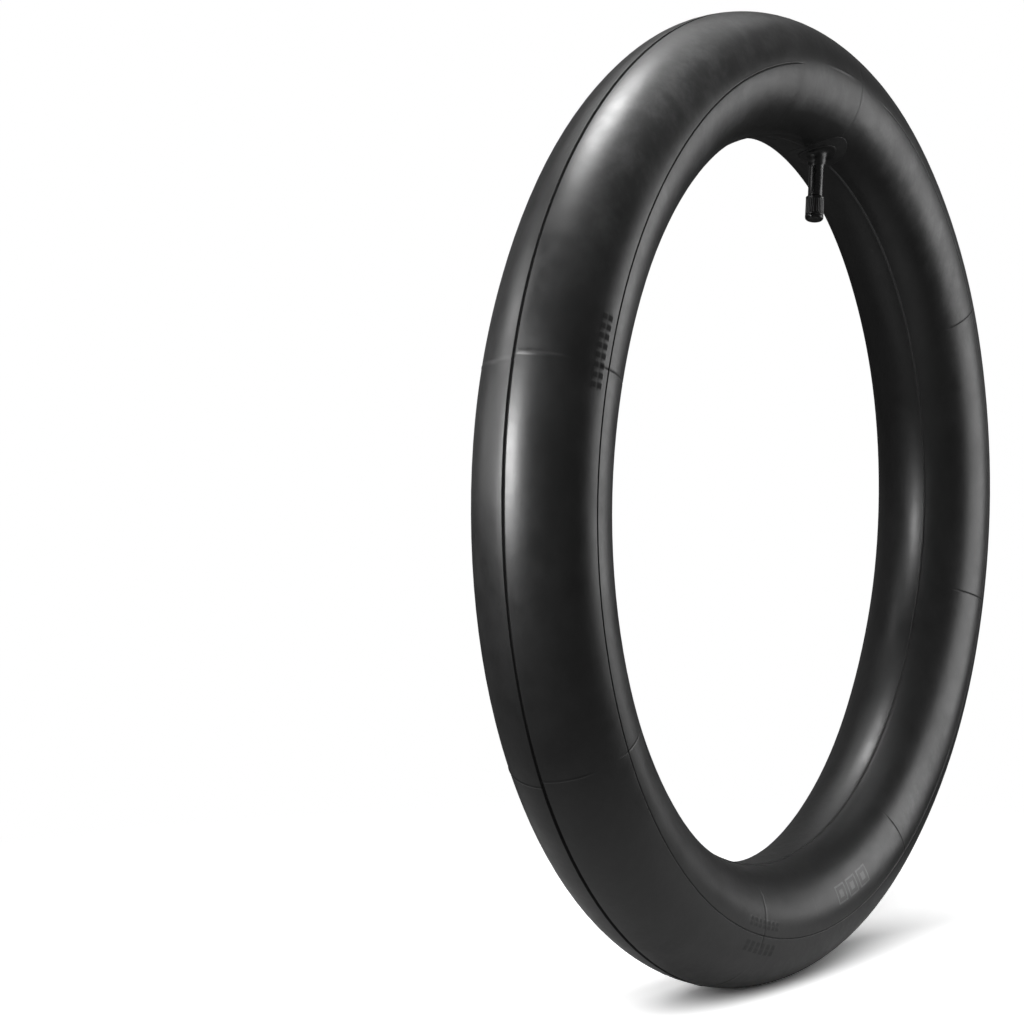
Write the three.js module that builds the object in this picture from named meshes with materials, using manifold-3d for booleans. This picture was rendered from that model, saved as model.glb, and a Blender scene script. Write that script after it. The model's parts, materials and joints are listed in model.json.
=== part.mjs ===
// Bicycle inner tube, inflated and standing upright, with a rubber-covered Schrader valve.
//
// Millimetres, +Z up. The origin is the centre of the ring and the ring's axle lies along Y,
// so the tube stands on the crown of its lowest point. The ring is one hollow butyl shell.
// The valve is made of real pieces round one axis: rubber stem on a bonded patch, brass insert,
// screw-in core with its pin, spring and seat, and a screw cap with a washer.

import * as THREE from "three";
import { mergeVertices } from "three/addons/utils/BufferGeometryUtils.js";
import Module from "manifold-3d";

const wasm = await Module();
wasm.setup();

// ---------------------------------------------------------------- driving dimensions

// The ring: it fits a rim with a 406 mm bead seat, with a section of 71 mm when inflated.
const RIM_SEAT_DIAMETER = 406;
const SECTION_RADIUS = 35.5;
const CENTRE_RADIUS = RIM_SEAT_DIAMETER / 2 + SECTION_RADIUS;
const WALL = 1.5;

// Facets round the ring and its section, and round the turned pieces of the valve.
const RING_SEGMENTS = 60;
const SECTION_SEGMENTS = 24;
const PAD_SEGMENTS = 28;
const HOLE_SEGMENTS = 20;
const CAP_SEGMENTS = 32;
const CORE_SEGMENTS = 16;
const PIN_SEGMENTS = 12;

// Where the valve leaves the ring: its clock position from the top, how far round the section it
// sits (180 degrees is the middle of the rim side), and the lean of its axis out of the ring's plane.
const VALVE_CLOCK = THREE.MathUtils.degToRad(14.4);
const VALVE_ROUND = THREE.MathUtils.degToRad(166.2);
const VALVE_LEAN = THREE.MathUtils.degToRad(4.5);

// Heights along the valve's axis, from the tube's outer surface (0) towards the ring's centre.
const STEM_FOOT = -3;
const ROOT_LOW = 2.2;
const ROOT_HIGH = 5;
const NECK = 6.3;
const RUBBER_TOP = 24.8;
const THREAD_BOTTOM = 25.2;
const STEM_MOUTH = 33.9;
const CAP_MOUTH = 25.1;
const CAP_END = 39;

// Radii round the valve's axis. The rubber stem has to pass a standard 8.5 mm rim hole.
const RUBBER_RADIUS = 4.2;
const ROOT_COLLAR_RADIUS = 5.2;
const TAIL_RADIUS = 4.2;
const CAP_RADIUS = 5.3;
const CASING_HOLE_RADIUS = 4.8;
const PATCH_HOLE_RADIUS = 5.6;
const PATCH_RADIUS = 17;
const FOOT_RADIUS = 11;

// Thicknesses that follow the tube's surface, and the gap between bonded rubber pieces.
const BOND_GAP = 0.3;
const PATCH_THICKNESS = 0.8;
const FOOT_THICKNESS = 1.2;
const PAD_REACH = 9;

// The brass insert. Its collar keys into the rubber; radii of its body, and of its bore from the
// air passage up to the cone that the core seals on.
const INSERT_TAIL_RADIUS = 2.6;
const INSERT_BODY_RADIUS = 2.9;
const INSERT_COLLAR = { radius: 3.4, low: 0.7, high: 2 };
const INSERT_BOND_GAP = 0.25;
const AIR_PASSAGE_RADIUS = 1.3;
const CORE_WELL_RADIUS = 1.85;
const SEAT_CONE = { radius: 2.15, low: 26.2, high: 27.2 };
const COUNTERSINK = { radius: 2.5, mouth: 2.75, depth: 0.5 };

// 8V1 thread on the stem, which the cap screws on: 7.7 mm, 32 turns to the inch, right-handed.
const CAP_THREAD = {
  pitch: 0.794, root: 3.45, crest: 3.85, rootWidth: 0.56, crestWidth: 0.1, segments: 20,
};
const CAP_THREAD_TURNS = 10;
const CAP_THREAD_START = THREAD_BOTTOM + 0.35;
const CAP_NUT_BOTTOM = 27.5;

// 5V1 thread, which the core screws in by: 5.2 mm, 36 turns to the inch, right-handed.
const CORE_THREAD = {
  pitch: 0.7056, root: 2.1, crest: 2.48, rootWidth: 0.48, crestWidth: 0.1, segments: 16,
};
const CORE_THREAD_TURNS = 4;
const CORE_NUT_TURNS = 6;
const THREAD_CLEARANCE = 0.09;

// Core: heights along the valve's axis.
const CORE_BORE_BOTTOM = 17.6;
const CORE_NUT_BOTTOM = 28.7;
const CUP_BOTTOM = 19.6;
const CUP_TOP = 21.1;
const BARREL_BOTTOM = 21.6;
const PLUG_BOTTOM = 29.9;
const PLUG_TOP = 33.3;
const PIN_BOTTOM = 19;
const PIN_SHOULDER = 28.5;
const PIN_HEAD = 33.2;
const PIN_TOP = 33.8;

// Core: the barrel's groove for its cone, the cone, and the head that turns in the nut's socket.
const BARREL_RADIUS = 1.6;
const BARREL_BORE_RADIUS = 0.95;
const BARREL_NOZZLE_RADIUS = 0.75;
const CONE_GROOVE = { radius: 1.3, low: 26.4, high: 28.7 };
const PACKING = { inside: 1.45, nose: 1.72, radius: 2, low: 26.8, shoulder: 27.7, high: 28.3 };
const BARREL_NECK = { radius: 1.1, low: 29.5, high: 30.7 };
const BARREL_HEAD = { radius: 1.5, top: 31.2 };
const SOCKET = { mouth: 1.35, radius: 1.75, top: 31.5, bore: 0.8 };
const TANG = { halfWidth: 0.95, bottom: 31.8, cut: 3, across: 8 };

// Core: the pin and the pieces that ride on it.
const PIN_RADIUS = 0.42;
const PIN_SHOULDER_RADIUS = 0.75;
const PIN_HEAD_RADIUS = 0.6;
const PIN_RIVET_RADIUS = 0.7;
const CUP = { hole: 0.58, inside: 1.32, radius: 1.5, floor: 0.5 };
const SEAT_WASHER = { radius: 1.2, low: 20.3, high: 21.35 };
const SPRING = {
  bottom: 22.8, top: 28.35, turns: 8, stepsPerTurn: 10, coilRadius: 0.68, wireRadius: 0.1, sides: 5,
};

// The cap: skirt over the thread's start, well over the stem's mouth, and the washer in it.
const CAP_SKIRT_RADIUS = 4.3;
const CAP_WELL = { radius: 4.05, top: 35.6 };
const CAP_POCKET_RADIUS = 2.85;
const CAP_FLOOR = 1.4;
const CAP_WASHER = { inside: 2.85, radius: 3.75, low: 34.2, high: 35.3 };

// ---------------------------------------------------------------- solids and helpers

// Turns a closed geometry into a solid that can be cut and joined.
function toSolid(geometry) {
  const bare = geometry.clone();
  bare.deleteAttribute("normal");
  bare.deleteAttribute("uv");
  const merged = mergeVertices(bare, 1e-5);
  const vertProperties = new Float32Array(merged.attributes.position.array);
  const triVerts = new Uint32Array(merged.index.array);
  return new wasm.Manifold(new wasm.Mesh({ numProp: 3, vertProperties, triVerts }));
}

// Turns a solid back into a geometry.
function toGeometry(solid) {
  const mesh = solid.getMesh();
  const geometry = new THREE.BufferGeometry();
  geometry.setAttribute("position", new THREE.BufferAttribute(mesh.vertProperties, 3));
  geometry.setIndex(new THREE.BufferAttribute(mesh.triVerts, 1));
  geometry.computeVertexNormals();
  return geometry;
}

// A turned piece on the Z axis. The profile is [radius, height] pairs going anticlockwise round
// the half section: up the outside and down the inside. It is closed here.
function turned(profile, segments) {
  const points = [...profile, profile[0]].map(([radius, height]) => new THREE.Vector2(radius, height));
  return new THREE.LatheGeometry(points, segments).rotateX(Math.PI / 2);
}

// A plain round bar on the Z axis.
function bar(radius, bottom, top, segments) {
  return turned([[0, bottom], [radius, bottom], [radius, top], [0, top]], segments);
}

// A ring-shaped solid with the tube's centre line and the given section radius. Its flats, not its
// corners, touch the true circles, so that the tube's overall size is exact and it rests on flats.
function ringSolid(sectionRadius) {
  const corner = sectionRadius / Math.cos(Math.PI / SECTION_SEGMENTS);
  const stretch = 1 / Math.cos(Math.PI / RING_SEGMENTS);
  const points = [];
  for (let i = 0; i <= SECTION_SEGMENTS; i += 1) {
    const angle = ((i % SECTION_SEGMENTS) + 0.5) * 2 * Math.PI / SECTION_SEGMENTS;
    const radius = CENTRE_RADIUS + corner * Math.cos(angle);
    points.push(new THREE.Vector2(radius * stretch, corner * Math.sin(angle)));
  }
  return toSolid(new THREE.LatheGeometry(points, RING_SEGMENTS, Math.PI / RING_SEGMENTS));
}

// The ridge of a right-handed thread: a trapezium swept up a helix, with closed ends. grow makes
// it fatter all round, for cutting the matching nut.
function threadRidge(thread, bottom, turns, grow) {
  const steps = turns * thread.segments;
  const inner = thread.root - 0.2;
  const rootHalf = thread.rootWidth / 2 + grow * 0.8;
  const crestHalf = thread.crestWidth / 2 + grow * 0.8;
  const crest = thread.crest + grow;
  const section = [[inner, -rootHalf], [thread.root + grow, -rootHalf], [crest, -crestHalf],
    [crest, crestHalf], [thread.root + grow, rootHalf], [inner, rootHalf]];
  const positions = [];
  const index = [];
  for (let i = 0; i <= steps; i += 1) {
    const angle = i * 2 * Math.PI / thread.segments;
    const rise = bottom + i * thread.pitch / thread.segments;
    for (const [radius, height] of section) {
      positions.push(radius * Math.cos(angle), radius * Math.sin(angle), rise + height);
    }
  }
  const n = section.length;
  for (let i = 0; i < steps; i += 1) {
    for (let j = 0; j < n; j += 1) {
      const a = i * n + j;
      const b = i * n + (j + 1) % n;
      index.push(a, a + n, b, b, a + n, b + n);
    }
  }
  const last = steps * n;
  for (let j = 1; j < n - 1; j += 1) {
    index.push(0, j, j + 1);
    index.push(last, last + j + 1, last + j);
  }
  const geometry = new THREE.BufferGeometry();
  geometry.setAttribute("position", new THREE.Float32BufferAttribute(positions, 3));
  geometry.setIndex(index);
  return toSolid(geometry);
}

// What a tap takes out of a nut for this thread, from bottom to top of the nut.
function tap(thread, bottom, top, phaseTurns) {
  const start = bottom - phaseTurns * thread.pitch;
  const turns = Math.ceil((top - start) / thread.pitch) + 1;
  const core = bar(thread.root + THREAD_CLEARANCE, bottom, top, thread.segments);
  const ridge = threadRidge(thread, start, turns, THREAD_CLEARANCE);
  const window = bar(thread.crest + 1, bottom, top, thread.segments);
  return toSolid(core).add(ridge.intersect(toSolid(window)));
}

// The valve's frame: +Z runs along its axis from the tube's surface, +X lies along the ring.
function valveMatrix() {
  const outwards = new THREE.Vector3(Math.sin(VALVE_CLOCK), 0, Math.cos(VALVE_CLOCK));
  const along = new THREE.Vector3(Math.cos(VALVE_CLOCK), 0, -Math.sin(VALVE_CLOCK));
  const axle = new THREE.Vector3(0, 1, 0);
  const reach = CENTRE_RADIUS + SECTION_RADIUS * Math.cos(VALVE_ROUND);
  const origin = outwards.clone().multiplyScalar(reach)
    .addScaledVector(axle, -SECTION_RADIUS * Math.sin(VALVE_ROUND));
  const axis = outwards.clone().multiplyScalar(-Math.cos(VALVE_LEAN))
    .addScaledVector(axle, -Math.sin(VALVE_LEAN));
  const side = new THREE.Vector3().crossVectors(axis, along);
  return new THREE.Matrix4().makeBasis(along, side, axis).setPosition(origin);
}

// The layer between two offsets from the tube's surface, inside a round bar on the valve's axis,
// in the valve's frame.
function surfaceDisc(radius, low, high, segments) {
  const column = toSolid(bar(radius, -PAD_REACH, PAD_REACH, segments).applyMatrix4(VALVE_MATRIX));
  const layer = column.intersect(ringSolid(SECTION_RADIUS + high))
    .subtract(ringSolid(SECTION_RADIUS + low));
  return toSolid(toGeometry(layer).applyMatrix4(VALVE_MATRIX.clone().invert()));
}

const VALVE_MATRIX = valveMatrix();

// ---------------------------------------------------------------- the pieces

// The tube: a hollow ring, with the hole that the stem is bonded into.
function tubeCasing() {
  const drill = bar(CASING_HOLE_RADIUS, -PAD_REACH, PAD_REACH, HOLE_SEGMENTS);
  const hole = toSolid(drill.applyMatrix4(VALVE_MATRIX));
  const shell = ringSolid(SECTION_RADIUS).subtract(ringSolid(SECTION_RADIUS - WALL));
  return toGeometry(shell.subtract(hole));
}

// The patch under the valve's foot: an even sheet that follows the tube.
function valveBasePatch() {
  const hole = toSolid(bar(PATCH_HOLE_RADIUS, -PAD_REACH, PAD_REACH, HOLE_SEGMENTS));
  const sheet = surfaceDisc(PATCH_RADIUS, BOND_GAP, BOND_GAP + PATCH_THICKNESS, PAD_SEGMENTS);
  return toGeometry(sheet.subtract(hole));
}

// The rubber stem: a foot that follows the patch, a rounded root collar, and the long sleeve round
// the brass. Its tail passes through the casing.
function stemRubber() {
  const footLow = 2 * BOND_GAP + PATCH_THICKNESS;
  const foot = surfaceDisc(FOOT_RADIUS, footLow, footLow + FOOT_THICKNESS, PAD_SEGMENTS);
  const column = toSolid(turned([
    [0, STEM_FOOT], [TAIL_RADIUS, STEM_FOOT], [TAIL_RADIUS, ROOT_LOW],
    [ROOT_COLLAR_RADIUS, ROOT_LOW + 0.2], [ROOT_COLLAR_RADIUS, ROOT_HIGH],
    [RUBBER_RADIUS + 0.4, NECK - 0.4], [RUBBER_RADIUS, NECK],
    [RUBBER_RADIUS, RUBBER_TOP - 0.5], [RUBBER_RADIUS - 0.3, RUBBER_TOP], [0, RUBBER_TOP],
  ], PAD_SEGMENTS));
  const tailBore = INSERT_TAIL_RADIUS + INSERT_BOND_GAP;
  const keyBore = INSERT_COLLAR.radius + INSERT_BOND_GAP + 0.05;
  const bodyBore = INSERT_BODY_RADIUS + INSERT_BOND_GAP;
  const bore = toSolid(turned([
    [0, STEM_FOOT - 1], [tailBore, STEM_FOOT - 1], [tailBore, INSERT_COLLAR.low - 0.4],
    [keyBore, INSERT_COLLAR.low - 0.2], [keyBore, INSERT_COLLAR.high + 0.1],
    [bodyBore, INSERT_COLLAR.high + 0.3], [bodyBore, RUBBER_TOP + 1], [0, RUBBER_TOP + 1],
  ], PAD_SEGMENTS));
  return toGeometry(column.add(foot).subtract(bore));
}

// The brass insert: collar in the rubber, cap thread outside, core thread and sealing cone inside.
function stemInsert() {
  const body = toSolid(turned([
    [0, STEM_FOOT], [INSERT_TAIL_RADIUS, STEM_FOOT], [INSERT_TAIL_RADIUS, INSERT_COLLAR.low],
    [INSERT_COLLAR.radius, INSERT_COLLAR.low + 0.1], [INSERT_COLLAR.radius, INSERT_COLLAR.high - 0.2],
    [INSERT_BODY_RADIUS, INSERT_COLLAR.high], [INSERT_BODY_RADIUS, THREAD_BOTTOM - 0.1],
    [CAP_THREAD.root, THREAD_BOTTOM], [CAP_THREAD.root, STEM_MOUTH - 0.3],
    [CAP_THREAD.root - 0.25, STEM_MOUTH], [0, STEM_MOUTH],
  ], CAP_THREAD.segments));
  const ridge = threadRidge(CAP_THREAD, CAP_THREAD_START, CAP_THREAD_TURNS, 0);
  const bore = toSolid(turned([
    [0, STEM_FOOT - 1], [AIR_PASSAGE_RADIUS, STEM_FOOT - 1], [AIR_PASSAGE_RADIUS, CORE_BORE_BOTTOM - 0.6],
    [CORE_WELL_RADIUS, CORE_BORE_BOTTOM], [CORE_WELL_RADIUS, SEAT_CONE.low],
    [SEAT_CONE.radius, SEAT_CONE.high], [SEAT_CONE.radius, CORE_NUT_BOTTOM + 0.2],
    [0, CORE_NUT_BOTTOM + 0.2],
  ], CORE_THREAD.segments));
  const countersink = toSolid(turned([
    [0, STEM_MOUTH - COUNTERSINK.depth], [COUNTERSINK.radius, STEM_MOUTH - COUNTERSINK.depth],
    [COUNTERSINK.mouth, STEM_MOUTH + 0.1], [0, STEM_MOUTH + 0.1],
  ], CORE_THREAD.segments));
  const thread = tap(CORE_THREAD, CORE_NUT_BOTTOM, STEM_MOUTH - 0.2, CORE_NUT_TURNS - CORE_THREAD_TURNS);
  return toGeometry(body.add(ridge).subtract(bore).subtract(thread).subtract(countersink));
}

// The core's nut: threaded outside, with a socket that holds the barrel's head, and a tang with
// two flats at the mouth for the tool.
function corePlug() {
  const body = toSolid(bar(CORE_THREAD.root, PLUG_BOTTOM, PLUG_TOP, CORE_THREAD.segments));
  const threadBottom = CORE_NUT_BOTTOM + 2 * CORE_THREAD.pitch;
  const ridge = threadRidge(CORE_THREAD, threadBottom, CORE_THREAD_TURNS - 1, 0);
  const socket = toSolid(turned([
    [0, PLUG_BOTTOM - 1], [SOCKET.mouth, PLUG_BOTTOM - 1], [SOCKET.mouth, PLUG_BOTTOM + 0.4],
    [SOCKET.radius, PLUG_BOTTOM + 0.45], [SOCKET.radius, SOCKET.top], [SOCKET.bore, SOCKET.top + 0.1],
    [SOCKET.bore, PLUG_TOP + 1], [0, PLUG_TOP + 1],
  ], CORE_THREAD.segments));
  let plug = body.add(ridge).subtract(socket);
  for (const sign of [-1, 1]) {
    const flat = new THREE.BoxGeometry(TANG.cut, TANG.across, TANG.cut)
      .translate(sign * (TANG.halfWidth + TANG.cut / 2), 0, TANG.bottom + TANG.cut / 2);
    plug = plug.subtract(toSolid(flat));
  }
  return toGeometry(plug);
}

// The core's barrel: a head that turns in the nut, a groove for the sealing cone, and a nozzle lip
// that the seat washer closes.
function coreBarrel() {
  return turned([
    [BARREL_NOZZLE_RADIUS, BARREL_BOTTOM + 0.2], [BARREL_NOZZLE_RADIUS + 0.35, BARREL_BOTTOM],
    [BARREL_RADIUS - 0.25, BARREL_BOTTOM], [BARREL_RADIUS, BARREL_BOTTOM + 0.6],
    [BARREL_RADIUS, CONE_GROOVE.low], [CONE_GROOVE.radius, CONE_GROOVE.low + 0.1],
    [CONE_GROOVE.radius, CONE_GROOVE.high - 0.1], [BARREL_RADIUS, CONE_GROOVE.high],
    [BARREL_RADIUS, BARREL_NECK.low], [BARREL_NECK.radius, BARREL_NECK.low + 0.1],
    [BARREL_NECK.radius, BARREL_NECK.high - 0.05], [BARREL_HEAD.radius, BARREL_NECK.high + 0.05],
    [BARREL_HEAD.radius, BARREL_HEAD.top], [BARREL_BORE_RADIUS, BARREL_HEAD.top],
    [BARREL_BORE_RADIUS, BARREL_BOTTOM + 1], [BARREL_NOZZLE_RADIUS, BARREL_BOTTOM + 0.8],
  ], CORE_SEGMENTS);
}

// The sealing cone round the barrel, which seats on the cone in the brass.
function corePacking() {
  return turned([
    [PACKING.inside, PACKING.low], [PACKING.nose, PACKING.low], [PACKING.radius, PACKING.shoulder],
    [PACKING.radius, PACKING.high], [PACKING.inside, PACKING.high],
  ], CORE_SEGMENTS);
}

// The pin, from the button at the mouth to the rivet under the cup, with the shoulder that the
// spring pushes on.
function corePin() {
  return turned([
    [0, PIN_BOTTOM], [PIN_RIVET_RADIUS, PIN_BOTTOM], [PIN_RIVET_RADIUS, PIN_BOTTOM + 0.4],
    [PIN_RADIUS, PIN_BOTTOM + 0.45], [PIN_RADIUS, PIN_SHOULDER], [PIN_SHOULDER_RADIUS, PIN_SHOULDER + 0.05],
    [PIN_SHOULDER_RADIUS, PIN_SHOULDER + 0.45], [PIN_RADIUS, PIN_SHOULDER + 0.6], [PIN_RADIUS, PIN_HEAD],
    [PIN_HEAD_RADIUS, PIN_HEAD + 0.15], [PIN_HEAD_RADIUS, PIN_TOP - 0.1], [PIN_HEAD_RADIUS - 0.1, PIN_TOP],
    [0, PIN_TOP],
  ], PIN_SEGMENTS);
}

// The cup that the pin lifts against the barrel.
function coreCup() {
  return turned([
    [CUP.hole, CUP_BOTTOM], [CUP.radius - 0.1, CUP_BOTTOM], [CUP.radius, CUP_BOTTOM + 0.1],
    [CUP.radius, CUP_TOP], [CUP.inside, CUP_TOP], [CUP.inside, CUP_BOTTOM + CUP.floor],
    [CUP.hole, CUP_BOTTOM + CUP.floor],
  ], CORE_SEGMENTS);
}

// The rubber washer in the cup.
function coreSeatWasher() {
  return turned([
    [CUP.hole, SEAT_WASHER.low], [SEAT_WASHER.radius, SEAT_WASHER.low],
    [SEAT_WASHER.radius, SEAT_WASHER.high], [CUP.hole, SEAT_WASHER.high],
  ], CORE_SEGMENTS);
}

// The spring between the barrel's floor and the pin's shoulder.
function coreSpring() {
  const { bottom, top, turns, stepsPerTurn, coilRadius, wireRadius, sides } = SPRING;
  const wire = new THREE.Shape();
  for (let i = 0; i < sides; i += 1) {
    const angle = i * 2 * Math.PI / sides;
    const x = wireRadius * Math.cos(angle);
    const y = wireRadius * Math.sin(angle);
    if (i === 0) {
      wire.moveTo(x, y);
    } else {
      wire.lineTo(x, y);
    }
  }
  const path = new THREE.Curve();
  path.getPoint = (t, target = new THREE.Vector3()) => {
    const angle = t * turns * 2 * Math.PI;
    const height = bottom + t * (top - bottom);
    return target.set(coilRadius * Math.cos(angle), coilRadius * Math.sin(angle), height);
  };
  return new THREE.ExtrudeGeometry(wire, { steps: turns * stepsPerTurn, extrudePath: path });
}

// The cap: a domed plastic nut with a lead-in skirt, a shoulder for its washer and a blind well
// that leaves room for the core.
function valveCap() {
  const body = toSolid(turned([
    [0, CAP_MOUTH], [CAP_RADIUS - 0.3, CAP_MOUTH], [CAP_RADIUS, CAP_MOUTH + 0.3],
    [CAP_RADIUS, CAP_END - 1.9], [CAP_RADIUS - 0.3, CAP_END - 1], [CAP_RADIUS - 0.9, CAP_END - 0.35],
    [CAP_RADIUS - 1.8, CAP_END], [0, CAP_END],
  ], CAP_SEGMENTS));
  const hollow = toSolid(turned([
    [0, CAP_MOUTH - 1], [CAP_SKIRT_RADIUS, CAP_MOUTH - 1], [CAP_SKIRT_RADIUS, CAP_NUT_BOTTOM - 0.3],
    [CAP_SKIRT_RADIUS - 0.3, CAP_NUT_BOTTOM + 0.01], [0, CAP_NUT_BOTTOM + 0.01],
  ], CAP_THREAD.segments));
  const seat = toSolid(turned([
    [0, STEM_MOUTH - 0.1], [CAP_WELL.radius, STEM_MOUTH - 0.1], [CAP_WELL.radius, CAP_WELL.top],
    [CAP_POCKET_RADIUS, CAP_WELL.top], [CAP_POCKET_RADIUS, CAP_END - CAP_FLOOR], [0, CAP_END - CAP_FLOOR],
  ], CAP_THREAD.segments));
  const thread = tap(CAP_THREAD, CAP_NUT_BOTTOM, STEM_MOUTH,
    (CAP_NUT_BOTTOM - CAP_THREAD_START) / CAP_THREAD.pitch);
  return toGeometry(body.subtract(hollow).subtract(thread).subtract(seat));
}

// The washer that the cap presses on the stem's mouth.
function capWasher() {
  return turned([
    [CAP_WASHER.inside, CAP_WASHER.low], [CAP_WASHER.radius, CAP_WASHER.low],
    [CAP_WASHER.radius, CAP_WASHER.high], [CAP_WASHER.inside, CAP_WASHER.high],
  ], CAP_THREAD.segments);
}

// ---------------------------------------------------------------- materials and assembly

const BUTYL = { color: 0x1d1e1f, roughness: 0.55, metalness: 0 };
const MOULDED_RUBBER = { color: 0x121212, roughness: 0.4, metalness: 0 };
const CAP_PLASTIC = { color: 0x151515, roughness: 0.35, metalness: 0 };
const BRASS = { color: 0xb5963f, roughness: 0.3, metalness: 1 };
const STEEL = { color: 0xa8a8a8, roughness: 0.3, metalness: 1 };
const SEAL_RED = { color: 0x8c2318, roughness: 0.6, metalness: 0 };
const SEAL_BLACK = { color: 0x0e0e0e, roughness: 0.7, metalness: 0 };

function piece(name, geometry, look) {
  const mesh = new THREE.Mesh(geometry, new THREE.MeshStandardMaterial(look));
  mesh.name = name;
  return mesh;
}

const group = new THREE.Group();
group.add(piece("tube_casing", tubeCasing(), BUTYL));

const valve = new THREE.Group();
valve.applyMatrix4(VALVE_MATRIX);
valve.add(piece("valve_base_patch", valveBasePatch(), MOULDED_RUBBER));
valve.add(piece("stem_rubber", stemRubber(), MOULDED_RUBBER));
valve.add(piece("stem_insert", stemInsert(), BRASS));
valve.add(piece("core_plug", corePlug(), BRASS));
valve.add(piece("core_barrel", coreBarrel(), BRASS));
valve.add(piece("core_packing", corePacking(), SEAL_RED));
valve.add(piece("core_pin", corePin(), BRASS));
valve.add(piece("core_spring", coreSpring(), STEEL));
valve.add(piece("core_cup", coreCup(), BRASS));
valve.add(piece("core_seat_washer", coreSeatWasher(), SEAL_BLACK));
valve.add(piece("valve_cap", valveCap(), CAP_PLASTIC));
valve.add(piece("cap_washer", capWasher(), SEAL_BLACK));
group.add(valve);

export default group;
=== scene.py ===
"""Inflated bicycle inner tube with a rubber-covered Schrader valve, standing on its crown.

The casing is a fine skin over the CAD ring: its mould seams, radial mould lines, valve pad and
moulded marks are all in the mesh. The valve's pieces are turned round the CAD valve's axis, except
for the patch, which is draped over the casing, and the spring, which is a coil.
Shape functions work in millimetres and degrees, as the CAD part does; a mesh is made in metres.
"""

import json
import math

import bpy
import numpy as np
from mathutils import Matrix, Vector

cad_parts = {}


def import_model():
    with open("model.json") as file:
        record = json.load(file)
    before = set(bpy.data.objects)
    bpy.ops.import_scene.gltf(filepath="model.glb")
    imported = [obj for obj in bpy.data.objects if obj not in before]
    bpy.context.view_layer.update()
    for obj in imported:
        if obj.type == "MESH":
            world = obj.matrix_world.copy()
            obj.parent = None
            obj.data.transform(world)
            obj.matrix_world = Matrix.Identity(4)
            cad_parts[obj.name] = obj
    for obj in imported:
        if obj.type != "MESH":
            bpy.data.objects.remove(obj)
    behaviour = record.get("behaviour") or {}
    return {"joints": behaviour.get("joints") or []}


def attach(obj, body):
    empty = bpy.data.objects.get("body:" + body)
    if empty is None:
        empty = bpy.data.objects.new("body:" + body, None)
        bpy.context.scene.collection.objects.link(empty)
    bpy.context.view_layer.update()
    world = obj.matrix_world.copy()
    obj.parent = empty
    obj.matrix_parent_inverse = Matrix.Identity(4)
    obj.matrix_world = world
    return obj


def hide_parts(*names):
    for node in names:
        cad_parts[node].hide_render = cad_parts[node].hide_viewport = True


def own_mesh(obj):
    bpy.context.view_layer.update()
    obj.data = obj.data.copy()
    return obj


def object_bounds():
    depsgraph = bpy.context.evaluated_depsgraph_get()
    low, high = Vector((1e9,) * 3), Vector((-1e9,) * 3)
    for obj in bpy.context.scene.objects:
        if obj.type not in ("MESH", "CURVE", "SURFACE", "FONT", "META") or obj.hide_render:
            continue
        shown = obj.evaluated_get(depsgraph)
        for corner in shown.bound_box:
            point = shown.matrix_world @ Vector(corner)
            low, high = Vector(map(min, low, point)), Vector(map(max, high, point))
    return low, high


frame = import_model()
cad_low, cad_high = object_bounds()

# ------------------------------------------------------------------ driving dimensions

MM = 0.001

# The ring, from the CAD part's box.
SECTION = (cad_high.y - cad_low.y) / 2 / MM
RING = (cad_high.x - cad_low.x) / 2 / MM - SECTION
WALL = 1.5
SKIN_DROP = 0.2
MM_ROUND = math.radians(1) * SECTION

# The valve's own frame, from the joint that the cap turns on: x along the ring, z out of it.
cap_joint = next(j for j in frame["joints"] if j["name"] == "cap_turn")
VALVE_FOOT = np.array(cap_joint["pos_m"]) / MM
VALVE_AXIS = np.array(cap_joint["axis"]) / np.linalg.norm(cap_joint["axis"])
VALVE_CLOCK = math.degrees(math.atan2(VALVE_FOOT[0], VALVE_FOOT[2]))
VALVE_REACH = math.hypot(VALVE_FOOT[0], VALVE_FOOT[2])
VALVE_ROUND = math.degrees(math.atan2(-VALVE_FOOT[1], VALVE_REACH - RING))
VALVE_ALONG = np.array([
    math.cos(math.radians(VALVE_CLOCK)), 0, -math.sin(math.radians(VALVE_CLOCK)),
])
VALVE_FRAME = np.stack([VALVE_ALONG, np.cross(VALVE_AXIS, VALVE_ALONG), VALVE_AXIS], axis=1)
MM_CLOCK_AT_VALVE = math.radians(1) * VALVE_REACH

# Mould lines: angles round the section, and clock angles of the six radial joints.
SIDE_LINE = 82.5
RIM_LINE = VALVE_ROUND
RADIAL_LINES = [-164.7, -119.2, -73.0, 62.4, 106.2, 150.6]
CROWN_GROOVE = {"half": 1.05, "depth": 1.1}
SIDE_GROOVE = {"half": 0.55, "depth": 0.4}
SIDE_GAP = (-5.6, 21.0)
RIM_RIDGE = {"half": 0.7, "height": 0.55}
RADIAL_RIDGE = {"half": 0.65, "height": 0.3}
CROWN_MISMATCH = 0.8

# The mould's valve insert: its three steps, each a clock angle and half its width, how high they
# are, and the clock angle of the crease at its joint.
INSERT_STEPS = ((-22, 1), (-5.4, 1.4), (23, 1.2))
INSERT_RELIEF = 0.12
INSERT_CREASE = 13.5

# Moulded marks: rows of plain blocks, by clock angles, angles round the section, number of blocks
# and how sharp the moulding still is, 0 to 1.
SIZE_MARK = (-75.8, -66.6, 65, 77, 8, 1.0)
BATCH_MARK = (-168.8, -160.4, 65, 76.5, 6, 0.45)
MAKER_MARK = (-168.6, -160.0, 88.5, 97, 7, 0.7)
MARK_HEIGHT = 0.22

# The casing's grid is finer across the marks: spans of clock angle, and its step there.
MARK_SPANS = [(-76.2, -66.2), (-169.3, -159.8)]
MARK_STEP = 0.23

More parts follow.
